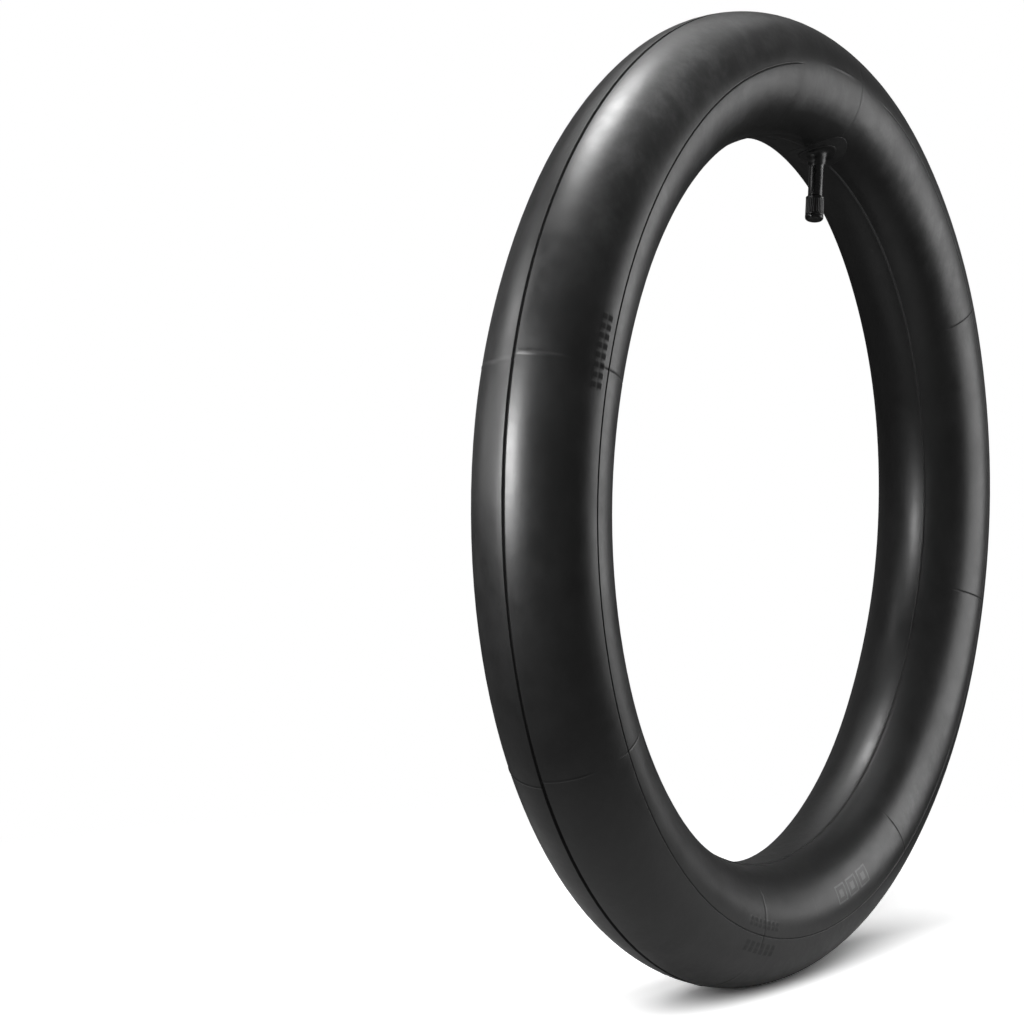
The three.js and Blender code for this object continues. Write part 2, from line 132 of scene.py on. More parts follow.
# Talc left by handling: an even film, and soft patches as strength, clock angle and half width,
# angle round the section and half width.
TALC_FILM = 0.05
TALC_PATCHES = [(1.0, 40, 36, 104, 36), (0.55, -30, 40, 50, 50), (0.8, 143, 22, 104, 18)]

# The valve pad: hole, patch and foot, round the valve's axis.
HOLE_RADIUS = 4.8
HOLE_HALF = 4.6
PATCH_RADIUS = 17
FOOT_RADIUS = 11
DIMPLE = {"radius": 21, "depth": 1.3}

# Heights along the valve's axis and radii round it, as in the CAD part.
STEM_FOOT = -3
RUBBER_TOP = 24.8
STEM_RADIUS = 4.2
COLLAR_RADIUS = 5.2
THREAD_BOTTOM = 25.2
THREAD_ROOT = 3.45
STEM_MOUTH = 33.9
CAP_MOUTH = 25.1
CAP_END = 39
CAP_RADIUS = 5.3
CAP_RIBS = 30
CORE_BOTTOM = 21.6
SPRING_BOTTOM = CORE_BOTTOM + 1.2
SPRING_LENGTH = 5.55

# Threads: root and crest are half a tooth's width at its foot and at its top.
CAP_THREAD = {
    "pitch": 0.794, "depth": 0.4, "root": 0.28, "crest": 0.05, "start": 25.55, "turns": 10,
}
CORE_THREAD = {
    "pitch": 0.7056, "depth": 0.38, "root": 0.24, "crest": 0.05, "start": 30.1112, "turns": 3,
}
CORE_NUT_THREAD = {**CORE_THREAD, "start": 28.7, "turns": 7}
CLEARANCE = 0.09


# ------------------------------------------------------------------ shape helpers

def bump(x, half):
    """1 at 0, falling smoothly to 0 at half and beyond."""
    return np.clip(1 - (x / half) ** 2, 0, 1) ** 2


def rise(x, low, high):
    """0 below low, 1 above high, and smooth between."""
    t = np.clip((x - low) / (high - low), 0, 1)
    return t * t * (3 - 2 * t)


def step(x, middle, half):
    """0 before middle, 1 after it, changing over half on each side."""
    return rise(x, middle - half, middle + half)


def plateau(x, half, edge):
    """1 within half of 0, falling smoothly to 0 over edge outside it."""
    return 1 - rise(np.abs(x), half, half + edge)


def wrap(angle):
    """The same angle between -180 and 180 degrees."""
    return (angle + 180) % 360 - 180


def ring_point(clock, around, height):
    """Points over the tube, from clock angle, angle round the section and height."""
    clock, around = np.radians(clock), np.radians(around)
    reach = RING + (SECTION + height) * np.cos(around)
    across = -(SECTION + height) * np.sin(around)
    return np.stack([reach * np.sin(clock), across, reach * np.cos(clock)], axis=-1)


def ring_place(points):
    """Clock angle, angle round the section and height over the plain tube, of points."""
    clock = np.degrees(np.arctan2(points[..., 0], points[..., 2]))
    reach = np.hypot(points[..., 0], points[..., 2]) - RING
    around = np.degrees(np.arctan2(-points[..., 1], reach))
    return clock, around, np.hypot(reach, points[..., 1]) - SECTION


def valve_point(x, y, z):
    """Points in the row frame, from the valve's own coordinates."""
    return VALVE_FOOT + np.stack([x, y, z], axis=-1) @ VALVE_FRAME.T


# ------------------------------------------------------------------ relief of the casing

def crown_wave(clock):
    """How far the crown seam strays round the section."""
    return -3.7 * bump(wrap(clock + 53), 42) + 0.5 * np.sin(np.radians(2 * clock + 40))


def crown_line(clock, around):
    """The angle round the section, measured from the crown seam."""
    return around - crown_wave(clock) * bump(around, 60)


def radial_shift(around):
    """The two mould halves don't quite meet: the outer one's radial joints sit a little early."""
    return -CROWN_MISMATCH * plateau(around + 60, 58, 2.5)


def groove(distance, shape):
    """A moulded groove."""
    return -shape["depth"] * bump(distance, shape["half"])


def block_row(clock, around, start, stop, low, high, count, sharp):
    """A row of plain raised blocks, each in two halves, which stands for moulded lettering. 0 to 1."""
    along = (clock - start) / (stop - start) * count
    across = (around - low) / (high - low) - 0.5
    inside = (along > 0) & (along < count)
    block = plateau(along % 1 - 0.5, 0.25, 0.14) * plateau(across, 0.4, 0.12)
    return sharp * inside * block * (1 - 0.5 * plateau(across, 0.03, 0.07))


def marks(clock, around):
    """All the moulded marks, 0 to 1."""
    return sum(block_row(clock, around, *mark) for mark in (SIZE_MARK, BATCH_MARK, MAKER_MARK))


def rim_ridge(clock, around):
    """The ridge on the rim side. It stops where the valve pad's rubber flowed over it."""
    present = 1 - rise(clock, VALVE_CLOCK - 1.4, VALVE_CLOCK - 0.4) + rise(clock, 18.3, 18.8)
    start = 0.5 * bump(clock - 19.1, 0.8)
    strength = np.clip(present, 0, 1) * (0.75 + start + 0.25 * bump(wrap(clock - 45), 60))
    ridge = bump((around % 360 - RIM_LINE) * MM_ROUND, RIM_RIDGE["half"])
    return RIM_RIDGE["height"] * strength * ridge


def radial_bump(clock, around):
    """The width of the mould's radial joints, 0 to 1."""
    mm_clock = math.radians(1) * (RING + SECTION * np.cos(np.radians(around)))
    total = np.zeros(np.broadcast(clock, around).shape)
    for line in RADIAL_LINES:
        total += bump(wrap(clock - line - radial_shift(around)) * mm_clock, RADIAL_RIDGE["half"])
    return total


def on_crown(around):
    """Where the radial joints are proud."""
    return plateau(around + 8, 42, 14)


def on_sides(around):
    """Where the radial joints are sunk."""
    return plateau(np.abs(around) - 100, 20, 12)


def radial_lines(clock, around):
    """The fine fins at the mould's radial joints: proud on the crown, sunk on the sides."""
    proud = on_crown(around) - 0.8 * on_sides(around)
    return RADIAL_RIDGE["height"] * radial_bump(clock, around) * proud


def insert_crease(clock, around, half):
    """The crease across the side at the insert's joint, 0 to 1."""
    side = rise(around, 58, 70) * (1 - rise(around, 158, 163))
    return side * bump((clock - INSERT_CREASE) * MM_CLOCK_AT_VALVE, half)


def side_gap(clock, around):
    """1 where the valve insert interrupts the side line."""
    start, stop = SIDE_GAP
    return (around > 0) * step(clock, start, 1.5) * (1 - step(clock, stop, 1.5))


def valve_zone(clock, around):
    """The mould's valve insert: its step edges, the crease at its joint, a low swelling where it
    interrupts the side line, and the dimple."""
    low_edge = 1 - rise(around, 118, 140)
    face = rise(around, 60, 70) * low_edge
    low_face = rise(around, 80, 84) * low_edge
    first, second, third = (step(clock, middle, half) for middle, half in INSERT_STEPS)
    height = INSERT_RELIEF * (low_face * (first - second) - face * (second - third))
    height -= INSERT_RELIEF * insert_crease(clock, around, 1.5)
    height += 0.2 * bump(clock - 7.6, 4.2) * bump((around - 79.5) * MM_ROUND, 1.4)
    from_valve = np.hypot((clock - VALVE_CLOCK) * MM_CLOCK_AT_VALVE, (around - VALVE_ROUND) * MM_ROUND)
    height -= DIMPLE["depth"] * bump(from_valve, DIMPLE["radius"])
    return height


def wrinkles(clock, around):
    """Creases in the rubber: two beside the valve, and a few short diagonal ones on the shoulder."""
    beside = bump(clock + 0.5, 11) * (1 - rise(clock, 8.2, 9.6))
    from_rim = around % 360 - RIM_LINE
    height = -0.45 * beside * bump((from_rim - 5.5 - 0.12 * clock) * MM_ROUND, 1.5)
    height -= 0.3 * beside * bump((from_rim + 6 + 0.3 * clock) * MM_ROUND, 1.8)
    first_clock, spacing, shoulder, mm_clock = -13, 2.1, 41, 4.9
    for k in range(5):
        x = (clock - first_clock - spacing * k) * mm_clock
        y = (around - shoulder) * MM_ROUND
        height += 0.1 * bump(x - y, 1.6) * bump(x + y, 6 + k)
    return height


def side_lines(clock, around):
    """The groove along each side, missing where the valve insert sits."""
    return groove((np.abs(around) - SIDE_LINE) * MM_ROUND, SIDE_GROOVE) * (1 - side_gap(clock, around))


def unevenness(clock, around):
    """The slow waviness of blown rubber. Never above 0, so that the tube keeps its box."""
    c, a = np.radians(clock), np.radians(around)
    waves = np.sin(4 * c + 2 * np.cos(a))
    waves += np.sin(7 * c - 1 + np.sin(2 * a))
    waves += np.sin(11 * c + 3 * np.sin(a))
    return 0.07 * (waves - 3) - SKIN_DROP


def relief(clock, around):
    """Height of the casing's outer face over the plain tube."""
    seam = crown_line(clock, around)
    height = unevenness(clock, around)
    height += groove(seam * MM_ROUND, CROWN_GROOVE)
    height += side_lines(clock, around)
    height += rim_ridge(clock, around)
    height += radial_lines(clock, around)
    height += valve_zone(clock, around)
    height += wrinkles(clock, around)
    height += MARK_HEIGHT * marks(clock, around)
    return height


def crease_shade(clock, around):
    """0 to 1: painted shade in the grooves, creases and sunk joints and on the rim ridge's lower half;
    the moulded marks darker too.
    """
    seam = crown_line(clock, around)
    crown = plateau(seam * MM_ROUND, 0.95, 0.3)
    sides = 0.7 * bump((np.abs(around) - SIDE_LINE) * MM_ROUND, 0.7) * (1 - side_gap(clock, around))
    joints = 0.7 * radial_bump(clock, around) * on_sides(around)
    insert = 0.12 * insert_crease(clock, around, 1.8)
    rim = bump((around % 360 - RIM_LINE) * MM_ROUND, 1.7) * bump(wrap(clock - 180), 60)
    return np.clip(crown + sides + joints + insert + rim + 0.7 * marks(clock, around), 0, 1)


def ridge_highlight(clock, around):
    """0 to 1: painted highlight, where the raised ridges are lit pale."""
    rim = bump((around % 360 - RIM_LINE) * MM_ROUND, 1.1) * bump(wrap(clock - 38), 60)
    rim = rim * rise(clock, 18.2, 19.2)
    left = radial_bump(clock, around) * on_crown(around) * bump(wrap(clock + 73), 8)
    return np.clip(rim + 0.3 * left, 0, 1)


def talc(clock, around):
    """0 to 1: where handling has left pale powder."""
    total = TALC_FILM
    for strength, middle, wide, level, tall in TALC_PATCHES:
        total = total + strength * bump(wrap(clock - middle), wide) * bump(around - level, tall)
    on_insert = rise(clock, -5.8, -5.0) * (1 - rise(clock, 12.8, 13.6)) * plateau(around - 103, 18, 8)
    on_left = plateau(wrap(clock + 60), 37.6, 0.8) * rise(around, 83, 84)
    on_left = on_left * (1 - rise(around, 110, 125))
    return np.clip(total + 0.4 * on_insert + 0.3 * on_left, 0, 1)


# ------------------------------------------------------------------ grids and meshes

def graded(zones, coarse, growth=0.4):
    """Grid lines right round a circle: the given fine zones, joined by lines that spread smoothly."""
    zones = sorted(zones, key=lambda zone: zone[0])
    lines = []
    for zone, following in zip(zones, zones[1:] + [zones[0] + 360]):
        lines.extend(zone)
        x = np.linspace(zone[-1], following[0], 600)
        from_left = zone[-1] - zone[-2] + growth * (x - x[0])
        from_right = following[1] - following[0] + growth * (x[-1] - x)
        density = 1 / np.minimum(coarse, np.minimum(from_left, from_right))
        count = np.concatenate([[0], np.cumsum((density[1:] + density[:-1]) / 2 * np.diff(x))])
        steps = max(1, round(count[-1]))
        lines.extend(np.interp(np.arange(1, steps) * count[-1] / steps, count, x))
    return np.array(lines)


def new_object(name, vertices, faces, material):
    """A smooth-shaded mesh object. vertices are in millimetres in the row frame."""
    mesh = bpy.data.meshes.new(name)
    mesh.from_pydata((np.asarray(vertices) * MM).tolist(), [], faces)
    mesh.validate()
    mesh.shade_smooth()
    mesh.materials.append(material)
    piece = bpy.data.objects.new(name, mesh)
    bpy.context.scene.collection.objects.link(piece)
    return piece


def grid_faces(columns, rows, first, skip, flip):
    """Quads of a grid that closes on itself both ways, but for those that skip picks out."""
    faces = []
    for i in range(columns):
        for j in range(rows):
            if skip(i, j):
                continue
            after, above = (i + 1) % columns, (j + 1) % rows
            quad = [first + i * rows + j, first + after * rows + j,
                    first + after * rows + above, first + i * rows + above]
            faces.append(quad[::-1] if flip else quad)
    return faces


def hole_lines():
    """Grid lines across the valve hole's square, by clock angle and round the section."""
    half_clock = HOLE_HALF / MM_CLOCK_AT_VALVE
    half_round = HOLE_HALF / MM_ROUND
    ridge = 1.6
    across = np.linspace(VALVE_CLOCK - half_clock, VALVE_CLOCK + half_clock, 25)
    around = np.concatenate([
        np.linspace(-half_round, -ridge, 8)[:-1], np.linspace(-ridge, ridge, 13),
        np.linspace(ridge, half_round, 8)[1:],
    ]) + VALVE_ROUND
    return across, around


def round_the_hole(clock, around):
    """Moves the grid near the valve so that the square it leaves out becomes a round hole."""
    x = wrap(clock - VALVE_CLOCK) * MM_CLOCK_AT_VALVE
    y = wrap(around - VALVE_ROUND) * MM_ROUND
    square = np.maximum(np.abs(x), np.abs(y))
    circle = np.maximum(np.hypot(x, y), 1e-9)
    near = 1 - rise(square, HOLE_HALF, 3 * HOLE_HALF)
    scale = 1 + near * (square / circle * HOLE_RADIUS / HOLE_HALF - 1)
    return clock + x * (scale - 1) / MM_CLOCK_AT_VALVE, around + y * (scale - 1) / MM_ROUND


class TubeGrid:
    """One face of the hollow casing, as a closed grid with the valve's hole left out."""

    def __init__(self, clock_lines, round_lines):
        self.clock_lines, self.round_lines = clock_lines, round_lines
        self.clock, self.around = np.meshgrid(clock_lines, round_lines, indexing="ij")
        hole_clock, hole_round = hole_lines()
        self.i0 = int(np.argmin(np.abs(clock_lines - hole_clock[0])))
        self.j0 = int(np.argmin(np.abs(round_lines - hole_round[0])))
        self.wide, self.tall = len(hole_clock) - 1, len(hole_round) - 1

    def in_hole(self, i, j):
        """Whether a quad lies in the hole."""
        return 0 <= i - self.i0 < self.wide and 0 <= j - self.j0 < self.tall

    def rim(self):
        """The vertices round the hole, in order."""
        i0, j0, wide, tall = self.i0, self.j0, self.wide, self.tall
        corners = [(i0 + k, j0) for k in range(wide)]
        corners += [(i0 + wide, j0 + k) for k in range(tall)]
        corners += [(i0 + wide - k, j0 + tall) for k in range(wide)]
        corners += [(i0, j0 + tall - k) for k in range(tall)]
        return [i * len(self.round_lines) + j for i, j in corners]

    def faces(self, first, flip):
        """The grid's quads, when its vertices are numbered from first."""
        return grid_faces(len(self.clock_lines), len(self.round_lines), first, self.in_hole, flip)


def casing_grids():
    """The outer grid, fine along every mould line, and a plain inner one."""
    hole_clock, hole_round = hole_lines()
    mark_lines = [np.arange(start, stop, MARK_STEP) for start, stop in MARK_SPANS]
    plain_radials = [w for w in RADIAL_LINES if not any(m[0] < w < m[-1] for m in mark_lines)]
    clock_zones = [np.linspace(w - 0.7, w + 0.3, 13) for w in plain_radials] + mark_lines
    clock_zones += [np.linspace(c - 1.4, c + 1.4, 6) for c, _ in INSERT_STEPS]
    clock_zones.append(hole_clock)
    round_zones = [np.linspace(-2.4, 2.4, 21), np.linspace(-84.3, -80.7, 13), hole_round]
    round_zones += [np.arange(64.4, 80, 0.8), np.linspace(80.7, 84.3, 13), np.arange(88, 97.6, 0.9)]
    outer = TubeGrid(graded(clock_zones, 2.6), graded(round_zones, 4.6))
    inner = TubeGrid(graded([hole_clock], 7), graded([hole_round], 9))
    return outer, inner


def drop_unused(vertices, faces):
    """Leaves out the vertices that no face uses. Returns the kept ones' old numbers too."""
    used = np.unique(np.concatenate([np.asarray(f) for f in faces]))
    number = np.full(len(vertices), -1)
    number[used] = np.arange(len(used))
    return vertices[used], [[int(number[v]) for v in face] for face in faces], used


def tube_casing(material):
    """The hollow butyl ring."""
    outer, inner = casing_grids()
    skin_round = outer.around + crown_wave(outer.clock) * bump(outer.around, 60)
    from_joint = np.min([np.abs(wrap(outer.clock - line)) for line in RADIAL_LINES], axis=0)
    skin_clock = outer.clock + radial_shift(skin_round) * plateau(from_joint, 1.5, 6)
    skin_clock, skin_round = round_the_hole(skin_clock, skin_round)
    skin = ring_point(skin_clock, skin_round, relief(skin_clock, skin_round)).reshape(-1, 3)
    lining_clock, lining_round = round_the_hole(inner.clock, inner.around)
    depth = -WALL - DIMPLE["depth"] * dimple(lining_clock, lining_round)
    lining = ring_point(lining_clock, lining_round, depth).reshape(-1, 3)
    first = len(skin)
    faces = outer.faces(0, True) + inner.faces(first, False)
    skin_rim, lining_rim = outer.rim(), [first + v for v in inner.rim()]
    for k, v in enumerate(skin_rim):
        following = (k + 1) % len(skin_rim)
        faces.append([lining_rim[k], lining_rim[following], skin_rim[following], v])
    vertices, faces, used = drop_unused(np.concatenate([skin, lining]), faces)
    casing = new_object("tube_casing_skin", vertices, faces, material)
    clock = wrap(np.concatenate([skin_clock.ravel(), lining_clock.ravel()])[used])
    around = wrap(np.concatenate([skin_round.ravel(), lining_round.ravel()])[used])
    # For the material: painted shade in the grooves, the talc, and painted highlights on the ridges.
    store(casing, "crease", crease_shade(clock, around))
    store(casing, "talc", talc(clock, around))
    store(casing, "ridge_highlight", ridge_highlight(clock, around))
    store(casing, "clock", clock)
    store(casing, "around", around)
    return casing


def store(piece, name, values):
    """Keeps a number at each vertex, for the material."""
    attribute = piece.data.attributes.new(name, "FLOAT", "POINT")
    attribute.data.foreach_set("value", np.asarray(values, np.float32))


# ------------------------------------------------------------------ turned pieces

def dimple(clock, around):
    """The dimple round the valve, 0 to 1."""
    x = wrap(clock - VALVE_CLOCK) * MM_CLOCK_AT_VALVE
    y = wrap(around - VALVE_ROUND) * MM_ROUND
    return bump(np.hypot(x, y), DIMPLE["radius"])


def rounded(profile, radius, steps=3):
    """The profile with every corner off the axis rounded, by at most radius."""
    points = []
    for before, corner, after in zip(profile[-1:] + profile[:-1], profile, profile[1:] + profile[:1]):
        if corner[0] == 0:
            points.append(corner)
            continue
        a, b, c = (np.array(p, float) for p in (before, corner, after))
        cut = min(radius, 0.42 * np.linalg.norm(a - b), 0.42 * np.linalg.norm(c - b))
        start = b + (a - b) / np.linalg.norm(a - b) * cut
        stop = b + (c - b) / np.linalg.norm(c - b) * cut
        for k in range(steps + 1):
            t = k / steps
            points.append(tuple((1 - t) ** 2 * start + 2 * t * (1 - t) * b + t * t * stop))
    return points


def turned(name, material, profile, segments=64, shape=None):
    """A piece turned round the valve's axis. The profile is (radius, height) pairs, up the outside
    and down the inside. shape, if given, changes (angle, radius, height) to (radius, height)."""
    angles = np.arange(segments) * 2 * math.pi / segments
    vertices, rings = [], []
    for radius, height in profile:
        if radius <= 0:
            rings.append([len(vertices)] * segments)
            vertices.append([0, 0, height])
            continue
        r, z = np.full(segments, float(radius)), np.full(segments, float(height))
        if shape is not None:
            r, z = shape(angles, r, z)
        rings.append(list(range(len(vertices), len(vertices) + segments)))
        vertices += np.stack([r * np.cos(angles), r * np.sin(angles), z], axis=-1).tolist()
    faces = []
    for low, high in zip(rings, rings[1:] + rings[:1]):
        if low[0] == low[1] and high[0] == high[1]:
            continue
        for k in range(segments):
            following = (k + 1) % segments
            face = [low[k], low[following], high[following], high[k]]
            faces.append(list(dict.fromkeys(face)))
    x, y, z = np.array(vertices).T
    return new_object(name, valve_point(x, y, z), faces, material)


def thread(shape, grow=0.0):
    """The radius that a right-handed thread adds at an angle and height."""
    def added(angles, heights):
        turn = (heights - shape["start"]) / shape["pitch"] - angles / (2 * math.pi)
        nearest = np.clip(np.round(turn), 0, shape["turns"])
        away = np.abs(turn - nearest) * shape["pitch"]
        flank = (shape["root"] + 0.8 * grow - away) / (shape["root"] - shape["crest"])
        return shape["depth"] * np.clip(flank, 0, 1)
    return added


def lift_over_casing(x, y, lift):
    """Heights along the valve's axis at which points lie lift over the casing's outer face."""
    z = np.zeros(np.broadcast(x, y).shape)
    for _ in range(8):
        clock, around, height = ring_place(valve_point(x + 0 * z, y + 0 * z, z))
        around = around % 360
        ground = unevenness(clock, around) - DIMPLE["depth"] * dimple(clock, around)
        z = z - (height - ground - lift)
    return z


def draped_disc(name, material, inner, outer, top, bottom, rings=30, segments=200):
    """A sheet on the casing round the valve. top and bottom give its faces' heights over the casing
    from the distance to the valve's axis, with the rim-side ridge carried across the top."""
    radii = np.linspace(inner, outer, rings)
    angles = np.arange(segments) * 2 * math.pi / segments
    path = [(r, top(r), True) for r in radii[::-1]] + [(r, bottom(r), False) for r in radii]
    vertices, faces = [], []
    for radius, lift, on_top in path:
        x, y = radius * np.cos(angles), radius * np.sin(angles)
        z = lift_over_casing(x, y, lift)
        if on_top:
            clock, around, _ = ring_place(valve_point(x, y, z))
            z = z + rim_ridge(clock, around % 360) * bump(radius, 1.4 * outer)
        vertices += valve_point(x, y, z).tolist()
    for k in range(len(path)):
        low, high = k * segments, (k + 1) % len(path) * segments
        for s in range(segments):
            following = (s + 1) % segments
            faces.append([low + s, low + following, high + following, high + s])
    return new_object(name, vertices, faces, material)


# ------------------------------------------------------------------ the valve's pieces

def patch_top(radius):
    """How far the patch's top lies over the casing, at a distance from the valve's axis."""
    return 0.05 + 0.5 * (1 - rise(radius, FOOT_RADIUS - 2, PATCH_RADIUS))


def valve_base_patch(material):
    """The patch bonded to the casing: a sheet that thins out to its edge."""
    return draped_disc("valve_base_patch_sheet", material, HOLE_RADIUS + 0.4, PATCH_RADIUS,
                       patch_top, lambda radius: 0.03)


def stem_shape(angles, radius, height):
    """Lays the stem's foot on the patch: heights below the collar count from the casing."""
    ground = lift_over_casing(radius * np.cos(angles), radius * np.sin(angles), 0.0)
    share = 1 - rise(height, 1.5, 6)
    in_the_tube = height < -0.5
    return radius, np.where(in_the_tube, height, height + ground * share)


def stem_rubber(material):
    """The moulded rubber stem: a foot that runs out on the patch, a rounded collar, a sleeve."""
    foot_low = 0.62
    profile = [(2.85, STEM_FOOT), (4.2, STEM_FOOT), (4.2, -0.8), (4.2, foot_low)]
    profile += [(FOOT_RADIUS * k, foot_low) for k in (0.6, 0.8, 1.0)]
    profile += [(FOOT_RADIUS, foot_low + 0.05), (9.4, 0.78), (8.0, 0.92), (6.8, 1.15), (6.0, 1.6)]
    profile += [(5.5, 2.3), (COLLAR_RADIUS + 0.1, 3.0), (COLLAR_RADIUS + 0.12, 3.8)]
    profile += [(COLLAR_RADIUS, 4.7), (COLLAR_RADIUS - 0.35, 5.4), (STEM_RADIUS + 0.12, 6.0)]
    profile += [(STEM_RADIUS, z) for z in (7.2, 12, 18, RUBBER_TOP - 0.45)]
    profile += [(STEM_RADIUS - 0.12, RUBBER_TOP - 0.12), (STEM_RADIUS - 0.3, RUBBER_TOP)]
    profile += [(3.3, RUBBER_TOP)]
    profile += [(3.15, RUBBER_TOP - 0.1), (3.15, 2.3), (3.7, 2.1), (3.7, 0.5), (2.85, 0.3)]
    moulding = turned("stem_rubber_moulding", material, profile, 96, stem_shape)
    heights = (np.array([v.co for v in moulding.data.vertices]) / MM - VALVE_FOOT) @ VALVE_AXIS
    store(moulding, "sleeve", rise(heights, 3, 8))
    return moulding


def stem_insert(material):
    """The brass tube in the rubber, with the cap's thread outside and the core's thread inside."""
    outside, inside = thread(CAP_THREAD), thread(CORE_NUT_THREAD, CLEARANCE)

    def shape(angles, radius, height):
        out = radius + (radius > 3.4) * (height > THREAD_BOTTOM - 0.2) * outside(angles, height)
        within = (height > 28.9) & (radius < 2.3)
        return out + within * inside(angles, height), height

    bore = 2.1 + CLEARANCE
    profile = [(1.3, STEM_FOOT), (2.6, STEM_FOOT), (2.6, 0.7), (3.4, 0.8), (3.4, 1.8), (2.9, 2.0)]
    profile += [(2.9, THREAD_BOTTOM - 0.15), (THREAD_ROOT, THREAD_BOTTOM - 0.05)]
    profile += [(THREAD_ROOT, z) for z in np.arange(THREAD_BOTTOM, STEM_MOUTH - 0.35, 0.075)]
    profile += [(THREAD_ROOT - 0.05, STEM_MOUTH - 0.22), (3.2, STEM_MOUTH), (2.72, STEM_MOUTH)]
    profile += [(2.5, STEM_MOUTH - 0.35)]
    profile += [(bore, z) for z in np.arange(STEM_MOUTH - 0.55, 28.9, -0.075)]
    profile += [(2.15, 28.8), (2.15, 27.2), (1.85, 26.2), (1.85, 17.6), (1.3, 17.0)]
    return turned("stem_insert_brass", material, profile, 72, shape)


def core_plug(material):
    """The core's nut: thread, socket for the barrel's head, and a tang with two flats."""
    outside = thread(CORE_THREAD)
    flat_at, flat_low = 0.95, 31.8

    def shape(angles, radius, height):
        threaded = (radius > 2.0) & (height < flat_low)
        out = radius + threaded * outside(angles, height)
        limit = flat_at / np.maximum(np.abs(np.cos(angles)), 1e-6)
        return np.where((height > flat_low) & (radius > 0.9), np.minimum(out, limit), out), height

    profile = [(1.35, 29.9)]
    profile += [(2.1, z) for z in np.append(np.arange(29.9, 31.78, 0.07), [31.78, 31.82])]
    profile += [(2.1, 32.4), (2.1, 33.15), (1.95, 33.3), (0.85, 33.3), (0.8, 33.25), (0.8, 31.6)]
    profile += [(1.75, 31.5), (1.75, 30.35), (1.35, 30.3)]
    return turned("core_plug_nut", material, profile, 72, shape)


def core_barrel(material):
    """The core's barrel, with the groove for its sealing cone and the lip that the washer closes."""
    b = CORE_BOTTOM
    profile = [(0.75, b + 0.2), (1.1, b), (1.35, b), (1.6, b + 0.6), (1.6, 26.4), (1.3, 26.5)]
    profile += [(1.3, 28.6), (1.6, 28.7), (1.6, 29.5), (1.1, 29.6), (1.1, 30.65), (1.5, 30.75)]
    profile += [(1.5, 31.2), (0.95, 31.2), (0.95, b + 1), (0.75, b + 0.8)]
    return turned("core_barrel_brass", material, rounded(profile, 0.06), 48)


def core_packing(material):
    """The sealing cone that seats in the brass."""
    profile = [(1.36, 26.8), (1.72, 26.8), (2.0, 27.7), (2.0, 28.3), (1.36, 28.3)]
    return turned("core_packing_cone", material, rounded(profile, 0.12), 48)


def core_pin(material):
    """The pin, from its rivet under the cup to the button at the mouth."""
    profile = [(0, 19.0), (0.7, 19.0), (0.7, 19.4), (0.42, 19.45), (0.42, 28.5), (0.75, 28.55)]
    profile += [(0.75, 28.95), (0.42, 29.1), (0.42, 33.2), (0.6, 33.35), (0.6, 33.8), (0, 33.8)]
    return turned("core_pin_rod", material, rounded(profile, 0.1), 32)


def core_cup(material):
    """The cup that the pin lifts against the barrel."""
    profile = [(0.58, 19.6), (1.5, 19.6), (1.5, 21.1), (1.32, 21.1), (1.32, 20.1), (0.58, 20.1)]
    return turned("core_cup_brass", material, rounded(profile, 0.09), 48)


def core_seat_washer(material):
    """The washer in the cup."""
    profile = [(0.58, 20.3), (1.2, 20.3), (1.2, 21.35), (0.58, 21.35)]
    return turned("core_seat_washer_ring", material, rounded(profile, 0.1), 48)


def core_spring(material):
    """The coil between the barrel's floor and the pin's shoulder, its end turns closed up."""
    turns, coil, wire = 9, 0.68, 0.095
    steps, sides = turns * 24, 10
    t = np.linspace(0, 1, steps + 1)
    angle = t * turns * 2 * math.pi
    end_turns, end_climb = 0.11, 0.045
    climb = np.interp(t, [0, end_turns, 1 - end_turns, 1], [0, end_climb, 1 - end_climb, 1])
    height = SPRING_BOTTOM + wire + climb * (SPRING_LENGTH - 2 * wire)
    vertices, faces = [], []
    for a, z in zip(angle, height):
        for k in range(sides):
            around = k * 2 * math.pi / sides
            reach = coil + wire * math.cos(around)
            vertices.append([reach * math.cos(a), reach * math.sin(a), z + wire * math.sin(around)])
    for i in range(steps):
        for k in range(sides):
            following = (k + 1) % sides
            low, high = i * sides, (i + 1) * sides
            faces.append([low + k, high + k, high + following, low + following])
    faces.append(list(range(sides)))
    faces.append(list(range(steps * sides, (steps + 1) * sides))[::-1])
    x, y, z = np.array(vertices).T
    return new_object("core_spring_coil", valve_point(x, y, z), faces, material)


